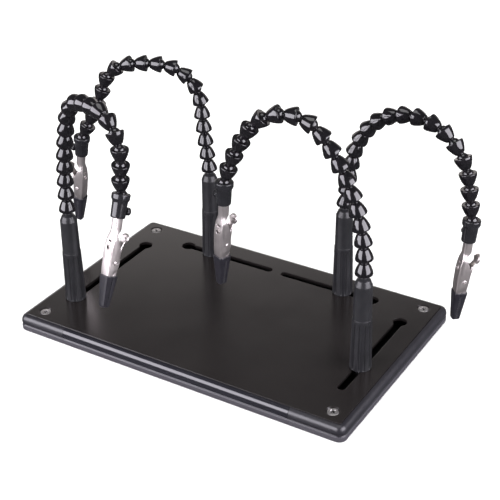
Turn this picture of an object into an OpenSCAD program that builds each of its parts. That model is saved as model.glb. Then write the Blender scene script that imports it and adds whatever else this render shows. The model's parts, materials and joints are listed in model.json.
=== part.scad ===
/* [Base] */
// Overall width of the base, left to right
base_w = 262.6; // [240:0.2:280]
// Overall depth of the base, front to back
base_d = 166; // [155:1:175]
// Height of the base from the feet to the top of the plate
base_h = 12.8; // [12:0.1:14]
// Thickness of the steel plate
plate_t = 2.5; // [2:0.1:3]
// Distance from the outside of the frame to the edge of the plate
plate_inset = 4.2; // [3:0.1:5]
// Outside radius of the frame's corners
corner_r = 5.5; // [4.5:0.5:10]
// Distance from the middle of the base to the seams in its long sides
seam_x = 91.4; // [80:0.1:100]
// Distance between the plate screws, left to right
screw_span_x = 234; // [230:1:236]
// Distance between the plate screws, front to back
screw_span_y = 139; // [136:1:142]

/* [Slots] */
// Width of the slots that the posts slide in
slot_w = 6; // [5.6:0.1:6.4]
// Diameter of the round entry at the end of each slot
keyhole_d = 10.4; // [10:0.1:11]
// Distance from the middle of the base to the side slots
side_slot_x = 110; // [106:0.5:112]
// Front end of the side slots
side_slot_front = -47; // [-50:0.5:-46]
// Centre of the side slots' round entries
side_slot_entry = 45; // [40:0.5:48]
// Distance from the middle of the base to the back slots
back_slot_y = 61; // [58:0.5:63]
// Inner end of the back slots
back_slot_inner = 4; // [3:0.5:8]
// Centre of the back slots' round entries
back_slot_entry = 80; // [76:0.5:84]

/* [Posts] */
// Diameter of the fluted grip at the plate
grip_d = 15; // [14:0.1:16]
// Height of the fluted grip
grip_h = 39; // [30:0.5:42]
// Number of flutes round the grip
flute_count = 12; // [8:1:20]
// Diameter of the smooth post above the grip
post_d = 12.9; // [12:0.1:13.4]
// Diameter of the post at its shoulder
shoulder_d = 12.2; // [11:0.1:12.6]
// Height of the shoulder above the plate
shoulder_h = 64.3; // [58:0.1:66]
// Height of the post's ball above the plate
post_ball_h = 73.2; // [70:0.1:78]

/* [Beads] */
// Widest diameter of a bead
bead_d = 12.1; // [11.6:0.1:12.4]
// Distance from one ball joint to the next
bead_pitch = 10.8; // [10.6:0.1:11.6]
// Diameter of the balls
ball_d = 8; // [7.6:0.1:8.2]
// Diameter of the neck below each ball
neck_d = 4.8; // [4.2:0.1:5]
// Diameter of the hole along the middle of each bead
bead_bore = 2.4; // [1.5:0.1:3]

/* [Arms, in the order left, back left, right, back right] */
// Where each post stands along its slot
post_at = [-43, -58, -17, 56]; // [-75:1:75]
// Direction that each arm arches towards, in degrees from +X
heading = [-23, 205, 197, -8]; // [-360:1:360]
// Slope of each first bead, in degrees above level
first_slope = [89, 84, 89, 84]; // [80:1:94]
// Bend at each joint of the riser
riser_bend = [3, -0.5, 4, 2]; // [-1:0.1:5]
// Joints in the riser
riser_joints = [6.4, 4.4, 8.7, 3]; // [2:0.1:10]
// Bend at each joint of the first corner
rise_corner_bend = [20, 20, 22.5, 10.5]; // [8:0.5:26]
// Joints in the first corner
rise_corner_joints = [3, 4, 5, 3]; // [2:0.1:6]
// Bend at each joint of the crown
crown_bend = [3.5, 6, 4.5, 13]; // [0:0.1:20]
// Joints in the crown
crown_joints = [2, 2.2, 5, 4.5]; // [1:0.1:8]
// Bend at each joint of the second corner
drop_corner_bend = [26, 26, 14, 15.5]; // [8:0.5:26]
// Joints in the second corner
drop_corner_joints = [4, 2.4, 1, 4.3]; // [1:0.1:5]
// Bend at each joint of the drop
drop_bend = [-5, -2, -2, 1]; // [-5:0.1:5]
// Slope of each clip, in degrees above level
clip_slope = [-68, -80, -87, -95]; // [-110:1:-60]
// Direction of each clip's slope, in degrees from +X
clip_heading = [-88, 165, 196, 45]; // [-360:1:360]
// Turn of each clip about its own length
clip_roll = [18, 159, -55, -179]; // [-180:1:360]
// Direction of each thumb screw, in degrees from the lever's side
screw_turn = [0, 0, -90, -90]; // [-180:1:180]

/* [Ferrules and clips] */
// Diameter of the ferrule's collar
collar_d = 12.4; // [12:0.1:13]
// Diameter of the ferrule below its collar
ferrule_d = 10.3; // [10:0.1:11]
// Distance from the ferrule's joint to its end
ferrule_l = 15; // [14:0.5:18]
// Distance from the ferrule's end to the tip of the boots
clip_l = 60; // [58:0.5:62]
// Distance from the ferrule's end to the jaw pivot
pivot_c = 29.5; // [28:0.5:31]
// Width of the clip's outer jaw
jaw_w = 8.4; // [8:0.1:9]
// Thickness of the clip's metal
metal_t = 0.7; // [0.6:0.05:0.8]
// Distance from the ferrule's end to the start of the boots
boot_c = 38; // [37:0.5:39]

/* [Hidden] */

LEFT = 0;
BACK_LEFT = 1;
RIGHT = 2;
BACK_RIGHT = 3;

black = [0.07, 0.07, 0.075];
satin_black = [0.13, 0.13, 0.135];
nickel = [0.78, 0.74, 0.73];
steel = [0.7, 0.7, 0.72];
rubber = [0.1, 0.1, 0.11];

// The frame: how far its ledge reaches under the plate, and its wall
foot_lift = 1;
ledge_reach = 13;
ledge_t = 2;
wall_t = 2.6;
plate_gap = 0.1;
plate_bottom = base_h - plate_t;
inner_x = base_w / 2 - corner_r;
inner_y = base_d / 2 - corner_r;
boss_r = 5;
screw_r = 2;
screw_head_r = 4.2;
foot_r = 6;
cover_t = 1.2;
cover_gap = 0.1;

// The posts and their studs
stud_r = 2.75;
stud_head_r = 4.9;
stud_head_t = 2;
stud_play = 0.1;
stud_depth = 14;
flute_r = 0.75;
run_gap = 0.05;

// The beads
ball_r = ball_d / 2;
socket_r = ball_r + run_gap;
mouth = 1.2;
riser_count = 7;
arch_count = 5;
drop_count = 6;
bead_count = riser_count + arch_count + drop_count;

// The clips, measured from the ferrule's end
shank_w = 5.4;
shank_in = 6;
shank_bore = 7.8;
pivot_u = 0.6;
pin_r = 1;
side_gap = 0.12;
lever_w = jaw_w - 2 * metal_t - 2 * side_gap;
jaw_tip_c = clip_l - 3;
boot_wall = 0.8;

// ---- Places along an arm ----

// The place of a post's axis on the plate
function post_xy(arm) =
    arm == LEFT ? [-side_slot_x, post_at[arm]] :
    arm == RIGHT ? [side_slot_x, post_at[arm]] :
    [post_at[arm], back_slot_y];

// How far x has got into a stretch that starts at begin and lasts for span
function along(x, begin, span) = min(max(x - begin, 0), span);

// The slope of bead i, in degrees above level
function slope(arm, i) =
    let (a = riser_joints[arm],
         b = a + rise_corner_joints[arm],
         c = b + crown_joints[arm],
         d = c + drop_corner_joints[arm])
    first_slope[arm]
        - riser_bend[arm] * along(i, 0, a)
        - rise_corner_bend[arm] * along(i, a, b - a)
        - crown_bend[arm] * along(i, b, c - b)
        - drop_corner_bend[arm] * along(i, c, d - c)
        - drop_bend[arm] * along(i, d, bead_count);

// The unit vector with a slope above level and a heading from +X
function toward(up, turn) = [cos(up) * cos(turn), cos(up) * sin(turn), sin(up)];

// The place of ball joint i
function joint_at(arm, i) =
    i == 0
        ? [post_xy(arm)[0], post_xy(arm)[1], base_h + post_ball_h]
        : joint_at(arm, i - 1) + bead_pitch * toward(slope(arm, i - 1), heading[arm]);

// Children, drawn along +Z from the origin, laid along bead i
module at_bead(arm, i) {
    translate(joint_at(arm, i))
        rotate([0, 90 - slope(arm, i), heading[arm]])
            children();
}

// Children, drawn along +Z from the origin, laid along the ferrule and clip
module at_ferrule(arm) {
    translate(joint_at(arm, bead_count))
        rotate([0, 90 - clip_slope[arm], clip_heading[arm]])
            rotate([0, 0, clip_roll[arm]])
                children();
}

// Children, drawn with +X towards the lever and +Z towards the tip, laid along the clip
module at_clip(arm) {
    at_ferrule(arm)
        translate([0, 0, ferrule_l])
            children();
}

// ---- Base ----

module each_screw() {
    for (sx = [-1, 1], sy = [-1, 1])
        translate([sx * screw_span_x / 2, sy * screw_span_y / 2, 0])
            children();
}

// A straight slot through the plate, as a box with round ends and a round entry
module slot_cut(from, entry) {
    run = entry - from;
    length = norm(run);
    translate([from[0], from[1], plate_bottom - 1])
        rotate([0, 0, atan2(run[1], run[0])]) {
            translate([0, -slot_w / 2, 0])
                cube([length, slot_w, plate_t + 2]);
            cylinder(d = slot_w, h = plate_t + 2, $fn = 48);
            translate([length, 0, 0])
                cylinder(d = keyhole_d, h = plate_t + 2, $fn = 48);
        }
}

// The base's outline, pulled in all round
module inner_outline(inset) {
    square([base_w - 2 * inset, 2 * inner_y], center = true);
    square([2 * inner_x, base_d - 2 * inset], center = true);
    for (sx = [-1, 1], sy = [-1, 1])
        translate([sx * inner_x, sy * inner_y])
            circle(r = corner_r - inset, $fn = 48);
}

module base_plate() {
    end_y = side_slot_front + slot_w / 2;
    color(satin_black)
        difference() {
            translate([0, 0, plate_bottom])
                linear_extrude(plate_t)
                    inner_outline(plate_inset);
            for (side = [-1, 1]) {
                slot_cut([side * side_slot_x, end_y], [side * side_slot_x, side_slot_entry]);
                slot_cut([side * (back_slot_inner + slot_w / 2), back_slot_y],
                         [side * back_slot_entry, back_slot_y]);
            }
            each_screw() {
                translate([0, 0, plate_bottom - 1])
                    cylinder(r = screw_r + 0.2, h = plate_t + 2, $fn = 32);
                translate([0, 0, base_h - screw_head_r + screw_r - 0.35])
                    cylinder(r1 = screw_r, r2 = screw_head_r + 0.5,
                             h = screw_head_r - screw_r + 0.5, $fn = 48);
            }
        }
}

// The frame's section: X is the distance in from its outside, Y is the height
module frame_section() {
    lip = plate_inset - plate_gap;
    ledge_top = plate_bottom;
    polygon([
        [0.5, foot_lift], [0, foot_lift + 0.5], [0, 4.6], [0.7, 5.1], [0.7, 5.8],
        [0.15, 6.4], [0, 7.2], [0.1, 8.4], [0.4, 9.6], [0.95, 10.7], [1.7, 11.5],
        [2.6, 12], [lip, base_h - 0.5],
        [lip, ledge_top], [ledge_reach, ledge_top], [ledge_reach, ledge_top - ledge_t],
        [wall_t, ledge_top - ledge_t], [wall_t, foot_lift]]);
}

// A straight length of frame, from x = start to x = end, along the front
module frame_run(start, end, outside) {
    translate([start, -outside, 0])
        rotate([90, 0, 90])
            linear_extrude(end - start)
                frame_section();
}

// A quarter-turn of frame round the origin, from -Y to +X
module frame_corner() {
    rotate([0, 0, -90])
        rotate_extrude(angle = 90, $fn = 64)
            translate([corner_r, 0])
                mirror([1, 0])
                    intersection() {
                        frame_section();
                        square([corner_r - 0.01, base_h]);
                    }
}

module end_frame(side) {
    x = screw_span_x / 2;
    y = screw_span_y / 2;
    color(black)
        mirror([side < 0 ? 1 : 0, 0, 0])
            difference() {
                union() {
                    for (end = [0, 1])
                        mirror([0, end, 0]) {
                            frame_run(seam_x, inner_x, base_d / 2);
                            translate([inner_x, -inner_y, 0])
                                frame_corner();
                            translate([x, -y, foot_lift])
                                cylinder(r = boss_r, h = plate_bottom - foot_lift, $fn = 48);
                        }
                    rotate([0, 0, 90])
                        frame_run(-inner_y, inner_y, base_w / 2);
                }
                for (end = [-1, 1])
                    translate([x, end * y, foot_lift + 1.5])
                        cylinder(r = screw_r + run_gap, h = base_h, $fn = 32);
            }
}

module long_rail(side) {
    color(black)
        mirror([0, side > 0 ? 1 : 0, 0])
            frame_run(-seam_x, seam_x, base_d / 2);
}

module plate_screws() {
    head_h = screw_head_r - screw_r;
    recess_w = 1;
    recess_l = 4.6;
    color(steel)
        each_screw()
            difference() {
                union() {
                    translate([0, 0, foot_lift + 2.5])
                        cylinder(r = screw_r, h = plate_bottom - foot_lift - 1, $fn = 32);
                    translate([0, 0, base_h - 0.35 - head_h])
                        cylinder(r1 = screw_r, r2 = screw_head_r, h = head_h, $fn = 48);
                }
                for (turn = [0, 90])
                    rotate([0, 0, turn + 45])
                        translate([-recess_l / 2, -recess_w / 2, base_h - 1.6])
                            cube([recess_l, recess_w, 2]);
            }
}

// The sheet that closes the base from below, fitted round the screw bosses
module bottom_cover() {
    color(satin_black)
        difference() {
            translate([0, 0, foot_lift])
                linear_extrude(cover_t)
                    inner_outline(wall_t + cover_gap);
            each_screw()
                cylinder(r = boss_r + cover_gap, h = base_h, $fn = 48);
        }
}

module rubber_feet() {
    for (sx = [-1, 1], sy = [-1, 1])
        color(rubber)
            translate([sx * screw_span_x / 2, sy * screw_span_y / 2, 0])
                cylinder(r1 = foot_r - 0.6, r2 = foot_r, h = foot_lift, $fn = 48);
}

// ---- Posts ----

module stud(arm) {
    color(steel)
        translate([post_xy(arm)[0], post_xy(arm)[1], 0]) {
            translate([0, 0, plate_bottom - stud_play - stud_head_t])
                cylinder(r = stud_head_r, h = stud_head_t, $fn = 48);
            translate([0, 0, plate_bottom - stud_play])
                cylinder(r = stud_r, h = plate_t + stud_depth, $fn = 48);
        }
}

module post(arm) {
    top = post_ball_h;
    cone_top = top - ball_r + 0.1;
    cone_step = cone_top - 1.3;
    cone_d = shoulder_d - 3;
    taper = atan((grip_d / 2 - post_d / 2 - 0.3) / grip_h);
    color(satin_black)
        translate([post_xy(arm)[0], post_xy(arm)[1], base_h])
            difference() {
                union() {
                    translate([0, 0, stud_play])
                        cylinder(d1 = grip_d, d2 = post_d + 0.6, h = grip_h - stud_play, $fn = 64);
                    translate([0, 0, grip_h - 1])
                        cylinder(d1 = post_d, d2 = shoulder_d, h = shoulder_h - grip_h + 1,
                                 $fn = 64);
                    translate([0, 0, shoulder_h])
                        cylinder(d1 = shoulder_d - 0.2, d2 = cone_d,
                                 h = cone_step - shoulder_h, $fn = 64);
                    translate([0, 0, cone_step])
                        cylinder(d1 = cone_d, d2 = neck_d + 1.2, h = cone_top - cone_step,
                                 $fn = 64);
                    translate([0, 0, shoulder_h + 1])
                        cylinder(d = neck_d, h = top - shoulder_h - 1, $fn = 48);
                    translate([0, 0, top])
                        sphere(r = ball_r, $fn = 48);
                }
                for (i = [0 : flute_count - 1])
                    rotate([0, 0, 360 * i / flute_count])
                        translate([grip_d / 2 + 0.15, 0, 2])
                            rotate([0, -taper, 0])
                                cylinder(r = flute_r, h = grip_h - 4.5, $fn = 24);
                translate([0, 0, -1])
                    cylinder(r = stud_r + run_gap, h = stud_depth + 1.5, $fn = 48);
                translate([0, 0, stud_depth])
                    cylinder(d = bead_bore, h = top, $fn = 24);
            }
}

// ---- Beads ----

// A bead, with its socket's centre at the origin and its ball at the pitch
module bead() {
    rim = bead_d / 2;
    difference() {
        union() {
            rotate_extrude($fn = 64)
                polygon([
                    [0, -mouth], [rim - 0.35, -mouth], [rim, 0.35 - mouth], [rim - 0.05, 0.3],
                    [rim - 0.35, 1.4], [rim - 0.9, 3], [rim - 1.55, 4.7], [rim - 2.1, 5.8],
                    [3.2, 6.9], [neck_d / 2, 7.3], [neck_d / 2, bead_pitch - 1],
                    [0, bead_pitch - 1]]);
            translate([0, 0, bead_pitch])
                sphere(r = ball_r, $fn = 48);
        }
        sphere(r = socket_r, $fn = 48);
        translate([0, 0, -mouth - 1])
            cylinder(d = bead_bore, h = bead_pitch + ball_d + 2, $fn = 24);
    }
}

// The beads of an arm from number first to number last
module bead_run(arm, first, last) {
    color(black)
        for (i = [first : last])
            at_bead(arm, i)
                bead();
}

module riser_beads(arm) {
    bead_run(arm, 0, riser_count - 1);
}

module arch_beads(arm) {
    bead_run(arm, riser_count, riser_count + arch_count - 1);
}

module drop_beads(arm) {
    bead_run(arm, riser_count + arch_count, bead_count - 1);
}

// ---- Ferrules ----

module ferrule(arm) {
    collar_l = 4.4;
    screw_z = ferrule_l - 4.2;
    color(satin_black)
        at_ferrule(arm)
            difference() {
                union() {
                    translate([0, 0, -mouth])
                        cylinder(d = collar_d, h = collar_l, $fn = 64);
                    translate([0, 0, collar_l - mouth])
                        cylinder(d1 = collar_d, d2 = ferrule_d, h = 1, $fn = 64);
                    translate([0, 0, collar_l - mouth + 0.5])
                        cylinder(d1 = ferrule_d, d2 = ferrule_d - 0.6,
                                 h = ferrule_l - collar_l + mouth - 1.1, $fn = 64);
                    translate([0, 0, ferrule_l - 0.8])
                        cylinder(d1 = ferrule_d - 0.8, d2 = ferrule_d - 1.6, h = 0.8, $fn = 64);
                }
                sphere(r = socket_r, $fn = 48);
                translate([0, 0, ferrule_l - shank_in - 0.5])
                    cylinder(d = shank_bore, h = shank_in + 1, $fn = 48);
                translate([0, 0, screw_z])
                    rotate([0, 90, screw_turn[arm]])
                        cylinder(r = 1.25, h = collar_d, $fn = 32);
            }
}

module thumb_screw(arm) {
    screw_z = ferrule_l - 4.2;
    color(satin_black)
        at_ferrule(arm)
            translate([0, 0, screw_z])
                rotate([0, 90, screw_turn[arm]]) {
                    translate([0, 0, shank_w / 2 + 0.05])
                        cylinder(r = 1.2, h = 3.5, $fn = 32);
                    translate([0, 0, ferrule_d / 2 + 0.25])
                        cylinder(d = 5.4, h = 3, $fn = 48);
                }
}

// ---- Clips ----

// A side view, X across and Y along the clip, given a width along the pin
module side_plate(width) {
    rotate([90, 0, 0])
        translate([0, 0, -width / 2])
            linear_extrude(width)
                children();
}

// The outline of the fixed jaw in side view, from the shank to the tip
module jaw_outline() {
    polygon([
        [-shank_w / 2, -shank_in], [shank_w / 2, -shank_in], [shank_w / 2, 9],
        [2.4, 13], [3.6, 22], [3.9, 30], [3.2, 34.5], [-0.2, 37],
        [-0.2, jaw_tip_c], [-2, jaw_tip_c], [-3.8, 38], [-4.3, 30], [-4.3, 20],
        [-shank_w / 2, 10]]);
}

// The same outline, pulled in by the metal's thickness on the side of the back
module jaw_hollow() {
    polygon([
        [metal_t - shank_w / 2, -shank_in - 1], [6, -shank_in - 1], [6, 60],
        [metal_t - 2, 60], [metal_t - 3.8, 38], [metal_t - 4.3, 30], [metal_t - 4.3, 20],
        [metal_t - shank_w / 2, 10]]);
}

// A wedge seen from the lever's side, which narrows a jaw towards its tip
module width_wedge(wide, narrow, begin, finish) {
    rotate([90, 0, 90])
        translate([0, 0, -15])
            linear_extrude(30)
                polygon([
                    [-shank_w / 2, -shank_in - 1], [shank_w / 2, -shank_in - 1],
                    [shank_w / 2, 9], [wide / 2, 13], [wide / 2, begin],
                    [narrow / 2, finish], [-narrow / 2, finish], [-wide / 2, begin],
                    [-wide / 2, 13], [-shank_w / 2, 9]]);
}

module clip_jaw(arm) {
    color(nickel)
        at_clip(arm)
            difference() {
                intersection() {
                    side_plate(jaw_w)
                        jaw_outline();
                    width_wedge(jaw_w, 4.6, 34, jaw_tip_c + 1);
                }
                intersection() {
                    side_plate(jaw_w - 2 * metal_t)
                        jaw_hollow();
                    width_wedge(jaw_w - 2 * metal_t, 4.6 - 2 * metal_t, 34, jaw_tip_c + 1);
                }
                for (hole = [[15.5, 0.8], [19.5, 1.3]])
                    translate([-6, 0, hole[0]])
                        rotate([0, 90, 0])
                            cylinder(r = hole[1], h = 4, $fn = 32);
                translate([pivot_u, 0, pivot_c])
                    rotate([90, 0, 0])
                        cylinder(r = pin_r, h = jaw_w + 2, center = true, $fn = 32);
            }
}

// The outline of the moving jaw in side view, with its lever
module lever_outline() {
    polygon([
        [0.2, 38], [2.2, 33.5], [-1.8, 31.5], [-1.8, 27], [1, 24.6], [5.2, 18.5], [5.9, 19.2],
        [4.9, 25], [4.5, 31], [3.9, 38], [2.1, jaw_tip_c], [0.2, jaw_tip_c]]);
}

// The inside of the moving jaw's channel
module lever_hollow() {
    polygon([
        [-8, 60], [-8, 17], [4.5, 17], [5.1, 19.2], [4.2, 25], [3.8, 31], [3.2, 38],
        [1.4, 60]]);
}

// The lever's thumb pad, a shallow round dish
module thumb_pad() {
    pad_r = 3.6;
    translate([7.6, 0, 13.6])
        rotate([0, 76, 0])
            difference() {
                cylinder(r = pad_r, h = 1.6, $fn = 48);
                translate([0, 0, metal_t])
                    cylinder(r = pad_r - metal_t, h = 2, $fn = 48);
            }
}

module clip_lever(arm) {
    color(nickel)
        at_clip(arm) {
            difference() {
                intersection() {
                    side_plate(lever_w)
                        lever_outline();
                    width_wedge(lever_w, 4.6, 34, jaw_tip_c + 1);
                }
                intersection() {
                    side_plate(lever_w - 2 * metal_t)
                        lever_hollow();
                    width_wedge(lever_w - 2 * metal_t, 4.6 - 2 * metal_t, 34, jaw_tip_c + 1);
                }
                translate([pivot_u, 0, pivot_c])
                    rotate([90, 0, 0])
                        cylinder(r = pin_r + run_gap, h = jaw_w, center = true, $fn = 32);
            }
            side_plate(lever_w - 2 * metal_t)
                polygon([[5.1, 19.2], [5.9, 19.2], [8.6, 15.4], [8, 15]]);
            thumb_pad();
        }
}

module clip_pin(arm) {
    head_t = 0.5;
    color(steel)
        at_clip(arm)
            translate([pivot_u, 0, pivot_c])
                rotate([90, 0, 0]) {
                    cylinder(r = pin_r, h = jaw_w, center = true, $fn = 32);
                    for (end = [-1, 1])
                        translate([0, 0, end * (jaw_w + head_t) / 2])
                            cylinder(r = 1.5, h = head_t, center = true, $fn = 32);
                }
}

// The close coils of the torsion spring round the pin
module clip_spring(arm) {
    wire_r = 0.35;
    coil_r = 1.75;
    coils = 4;
    pitch = 0.8;
    color(steel)
        at_clip(arm)
            translate([pivot_u, 0, pivot_c])
                rotate([90, 0, 0])
                    for (i = [0 : coils - 1])
                        translate([0, 0, (i - (coils - 1) / 2) * pitch])
                            rotate_extrude($fn = 48)
                                translate([coil_r, 0])
                                    circle(r = wire_r, $fn = 16);
}

// A boot's outline in side view, on the side of the fixed jaw
module boot_outline() {
    tip = clip_l;
    polygon([
        [-0.15, boot_c], [-0.15, tip - 0.4], [-0.6, tip], [-2, tip], [-2.7, tip - 0.9],
        [-4.7, boot_c]]);
}

// A rubber sleeve round one jaw's end
module boot() {
    difference() {
        intersection() {
            side_plate(jaw_w + 2 * boot_wall)
                boot_outline();
            width_wedge(jaw_w + 2 * boot_wall, 4.8, boot_c, clip_l + 1);
        }
        children();
    }
}

module jaw_boot(arm) {
    color(rubber)
        at_clip(arm)
            boot()
                intersection() {
                    side_plate(jaw_w)
                        jaw_outline();
                    width_wedge(jaw_w, 4.6, 34, jaw_tip_c + 1);
                }
}

module lever_boot(arm) {
    color(rubber)
        at_clip(arm)
            mirror([1, 0, 0])
                boot()
                    mirror([1, 0, 0])
                        intersection() {
                            side_plate(lever_w)
                                lever_outline();
                            width_wedge(lever_w, 4.6, 34, jaw_tip_c + 1);
                        }
}

base_plate();
end_frame(-1);  // left_end_frame
end_frame(1);  // right_end_frame
long_rail(-1);  // front_rail
long_rail(1);  // back_rail
plate_screws();
bottom_cover();
rubber_feet();
stud(LEFT);  // left_stud
post(LEFT);  // left_post
riser_beads(LEFT);  // left_riser_beads
arch_beads(LEFT);  // left_arch_beads
drop_beads(LEFT);  // left_drop_beads
ferrule(LEFT);  // left_ferrule
thumb_screw(LEFT);  // left_thumb_screw
clip_jaw(LEFT);  // left_clip_jaw
clip_lever(LEFT);  // left_clip_lever
clip_pin(LEFT);  // left_clip_pin
clip_spring(LEFT);  // left_clip_spring
jaw_boot(LEFT);  // left_jaw_boot
lever_boot(LEFT);  // left_lever_boot
stud(BACK_LEFT);  // back_left_stud
post(BACK_LEFT);  // back_left_post
riser_beads(BACK_LEFT);  // back_left_riser_beads
arch_beads(BACK_LEFT);  // back_left_arch_beads
drop_beads(BACK_LEFT);  // back_left_drop_beads
ferrule(BACK_LEFT);  // back_left_ferrule
thumb_screw(BACK_LEFT);  // back_left_thumb_screw
clip_jaw(BACK_LEFT);  // back_left_clip_jaw
clip_lever(BACK_LEFT);  // back_left_clip_lever
clip_pin(BACK_LEFT);  // back_left_clip_pin
clip_spring(BACK_LEFT);  // back_left_clip_spring
jaw_boot(BACK_LEFT);  // back_left_jaw_boot
lever_boot(BACK_LEFT);  // back_left_lever_boot
stud(RIGHT);  // right_stud
post(RIGHT);  // right_post
riser_beads(RIGHT);  // right_riser_beads
arch_beads(RIGHT);  // right_arch_beads
drop_beads(RIGHT);  // right_drop_beads
ferrule(RIGHT);  // right_ferrule
thumb_screw(RIGHT);  // right_thumb_screw
clip_jaw(RIGHT);  // right_clip_jaw
clip_lever(RIGHT);  // right_clip_lever
clip_pin(RIGHT);  // right_clip_pin
clip_spring(RIGHT);  // right_clip_spring
jaw_boot(RIGHT);  // right_jaw_boot
lever_boot(RIGHT);  // right_lever_boot
stud(BACK_RIGHT);  // back_right_stud
post(BACK_RIGHT);  // back_right_post
riser_beads(BACK_RIGHT);  // back_right_riser_beads
arch_beads(BACK_RIGHT);  // back_right_arch_beads
drop_beads(BACK_RIGHT);  // back_right_drop_beads
ferrule(BACK_RIGHT);  // back_right_ferrule
thumb_screw(BACK_RIGHT);  // back_right_thumb_screw
clip_jaw(BACK_RIGHT);  // back_right_clip_jaw
clip_lever(BACK_RIGHT);  // back_right_clip_lever
clip_pin(BACK_RIGHT);  // back_right_clip_pin
clip_spring(BACK_RIGHT);  // back_right_clip_spring
jaw_boot(BACK_RIGHT);  // back_right_jaw_boot
lever_boot(BACK_RIGHT);  // back_right_lever_boot
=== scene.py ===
import json
import math

import bmesh
import bpy
import numpy as np
from mathutils import Matrix, Vector


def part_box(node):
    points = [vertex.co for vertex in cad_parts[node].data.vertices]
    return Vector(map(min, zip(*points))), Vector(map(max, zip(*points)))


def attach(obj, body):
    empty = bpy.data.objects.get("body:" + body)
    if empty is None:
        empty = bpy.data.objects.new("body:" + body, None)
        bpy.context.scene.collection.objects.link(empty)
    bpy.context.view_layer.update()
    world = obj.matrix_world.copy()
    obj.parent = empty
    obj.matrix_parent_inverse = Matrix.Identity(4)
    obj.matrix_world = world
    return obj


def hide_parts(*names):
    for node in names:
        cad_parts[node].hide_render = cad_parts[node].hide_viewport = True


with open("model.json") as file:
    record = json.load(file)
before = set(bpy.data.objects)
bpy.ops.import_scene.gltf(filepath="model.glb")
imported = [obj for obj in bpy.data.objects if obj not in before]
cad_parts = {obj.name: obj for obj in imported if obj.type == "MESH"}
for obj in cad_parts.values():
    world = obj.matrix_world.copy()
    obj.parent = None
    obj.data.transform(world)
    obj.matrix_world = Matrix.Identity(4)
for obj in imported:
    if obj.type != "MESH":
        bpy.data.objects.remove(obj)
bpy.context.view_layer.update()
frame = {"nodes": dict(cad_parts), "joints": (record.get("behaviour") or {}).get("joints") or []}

# Shapes are drawn in millimetres and scaled to metres as they are placed.
MM = 0.001
TO_METRES = Matrix.Scale(MM, 4)
TAU = 2 * math.pi
SIGNS = (-1, 1)
JOINTS = {j["name"]: j for j in frame["joints"]}
ARMS = ("left", "back_left", "right", "back_right")

# The camera: its place in metres, its angles in degrees and its lens in millimetres
CAMERA_AT = (0.3957, -0.6178, 0.4852)
AZIMUTH = 31.69
ELEVATION = 29.97
ROLL = -0.94
LENS = 87.1

# The bead chains: each ball sits with a little play in the next bead's socket
BALL_R = 4.0
SOCKET_R = 4.05
SOCKET_Z = 1.2
NECK_R = 2.4
PITCH = 10.8
BEAD_BORE_R = 1.2

# The clips: the pivot's place along the clip from the ferrule's joint and towards the lever,
# and the thickness of the sheet
FERRULE_L = 15.0
PIVOT_C = 44.5
PIVOT_U = 0.6
METAL = 0.7

# The distance within which points become one, and the radius that a point on an axis gets instead of none
MERGE = 0.003
AXIS_R = 0.002


# ---- Places ----

def joint_place(name):
    """Where a joint of the frame stands, in metres."""
    return Vector(JOINTS[name]["pos_m"])


def joint_axis(name):
    """The unit vector along a joint's axis."""
    return Vector(JOINTS[name]["axis"]).normalized()


def axes_matrix(x, y, z, origin):
    """The matrix that carries millimetres along x, y and z from the origin into the frame's metres."""
    turn = Matrix((x, y, z)).transposed().to_4x4()
    return Matrix.Translation(origin) @ turn @ TO_METRES


def clip_matrix(arm):
    """Origin at the ferrule's joint, +Z towards the tip, +X towards the lever."""
    z = joint_axis(f"{arm}_swivel")
    y = joint_axis(f"{arm}_jaw_open")
    x = y.cross(z).normalized()
    return axes_matrix(x, z.cross(x), z, joint_place(f"{arm}_swivel"))


def post_matrix(arm):
    """Origin on the plate at the post's axis, upright."""
    return Matrix.Translation(joint_place(f"{arm}_turn")) @ TO_METRES


def bead_matrices(node):
    """One matrix for each bead in a CAD node: origin in the middle of its mouth, +Z towards its ball."""
    bm = bmesh.new()
    bm.from_mesh(frame["nodes"][node].data)
    bmesh.ops.remove_doubles(bm, verts=bm.verts, dist=0.001 * MM)
    bmesh.ops.triangulate(bm, faces=bm.faces)
    left = set(bm.faces)
    places = []
    while left:
        island = [left.pop()]
        for face in island:
            for edge in face.edges:
                for other in edge.link_faces:
                    if other in left:
                        left.remove(other)
                        island.append(other)
        places.append(bead_place(island))
    bm.free()
    return sorted(places, key=lambda m: tuple(round(v, 5) for v in m.translation))


def bead_place(faces):
    """A round bead's axis is the odd one out of its surface's three principal axes."""
    corners = np.array([[v.co[:] for v in f.verts] for f in faces])
    areas = np.linalg.norm(np.cross(corners[:, 1] - corners[:, 0], corners[:, 2] - corners[:, 0]), axis=1)
    centre = (areas[:, None] * corners.mean(1)).sum(0) / areas.sum()
    near = corners - centre
    total = near.sum(1)
    spread = np.einsum("i,ija,ijb->ab", areas, near, near) + np.einsum("i,ia,ib->ab", areas, total, total)
    sizes, axes = np.linalg.eigh(spread)
    axis = axes[:, 2] if sizes[2] - sizes[1] > sizes[1] - sizes[0] else axes[:, 0]
    points = near.reshape(-1, 3)
    heights = points @ axis
    radii = np.linalg.norm(points - heights[:, None] * axis, axis=1)
    wide = heights[radii > 0.97 * radii.max()].mean()
    if wide > (heights.max() + heights.min()) / 2:
        axis = -axis
        heights = -heights
    z = Vector(axis)
    x = z.cross(Vector((0, 0, 1)) if abs(z.z) < 0.9 else Vector((1, 0, 0))).normalized()
    return axes_matrix(x, z.cross(x), z, Vector(centre + axis * heights.min()))


# ---- Lines and outlines ----

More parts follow.
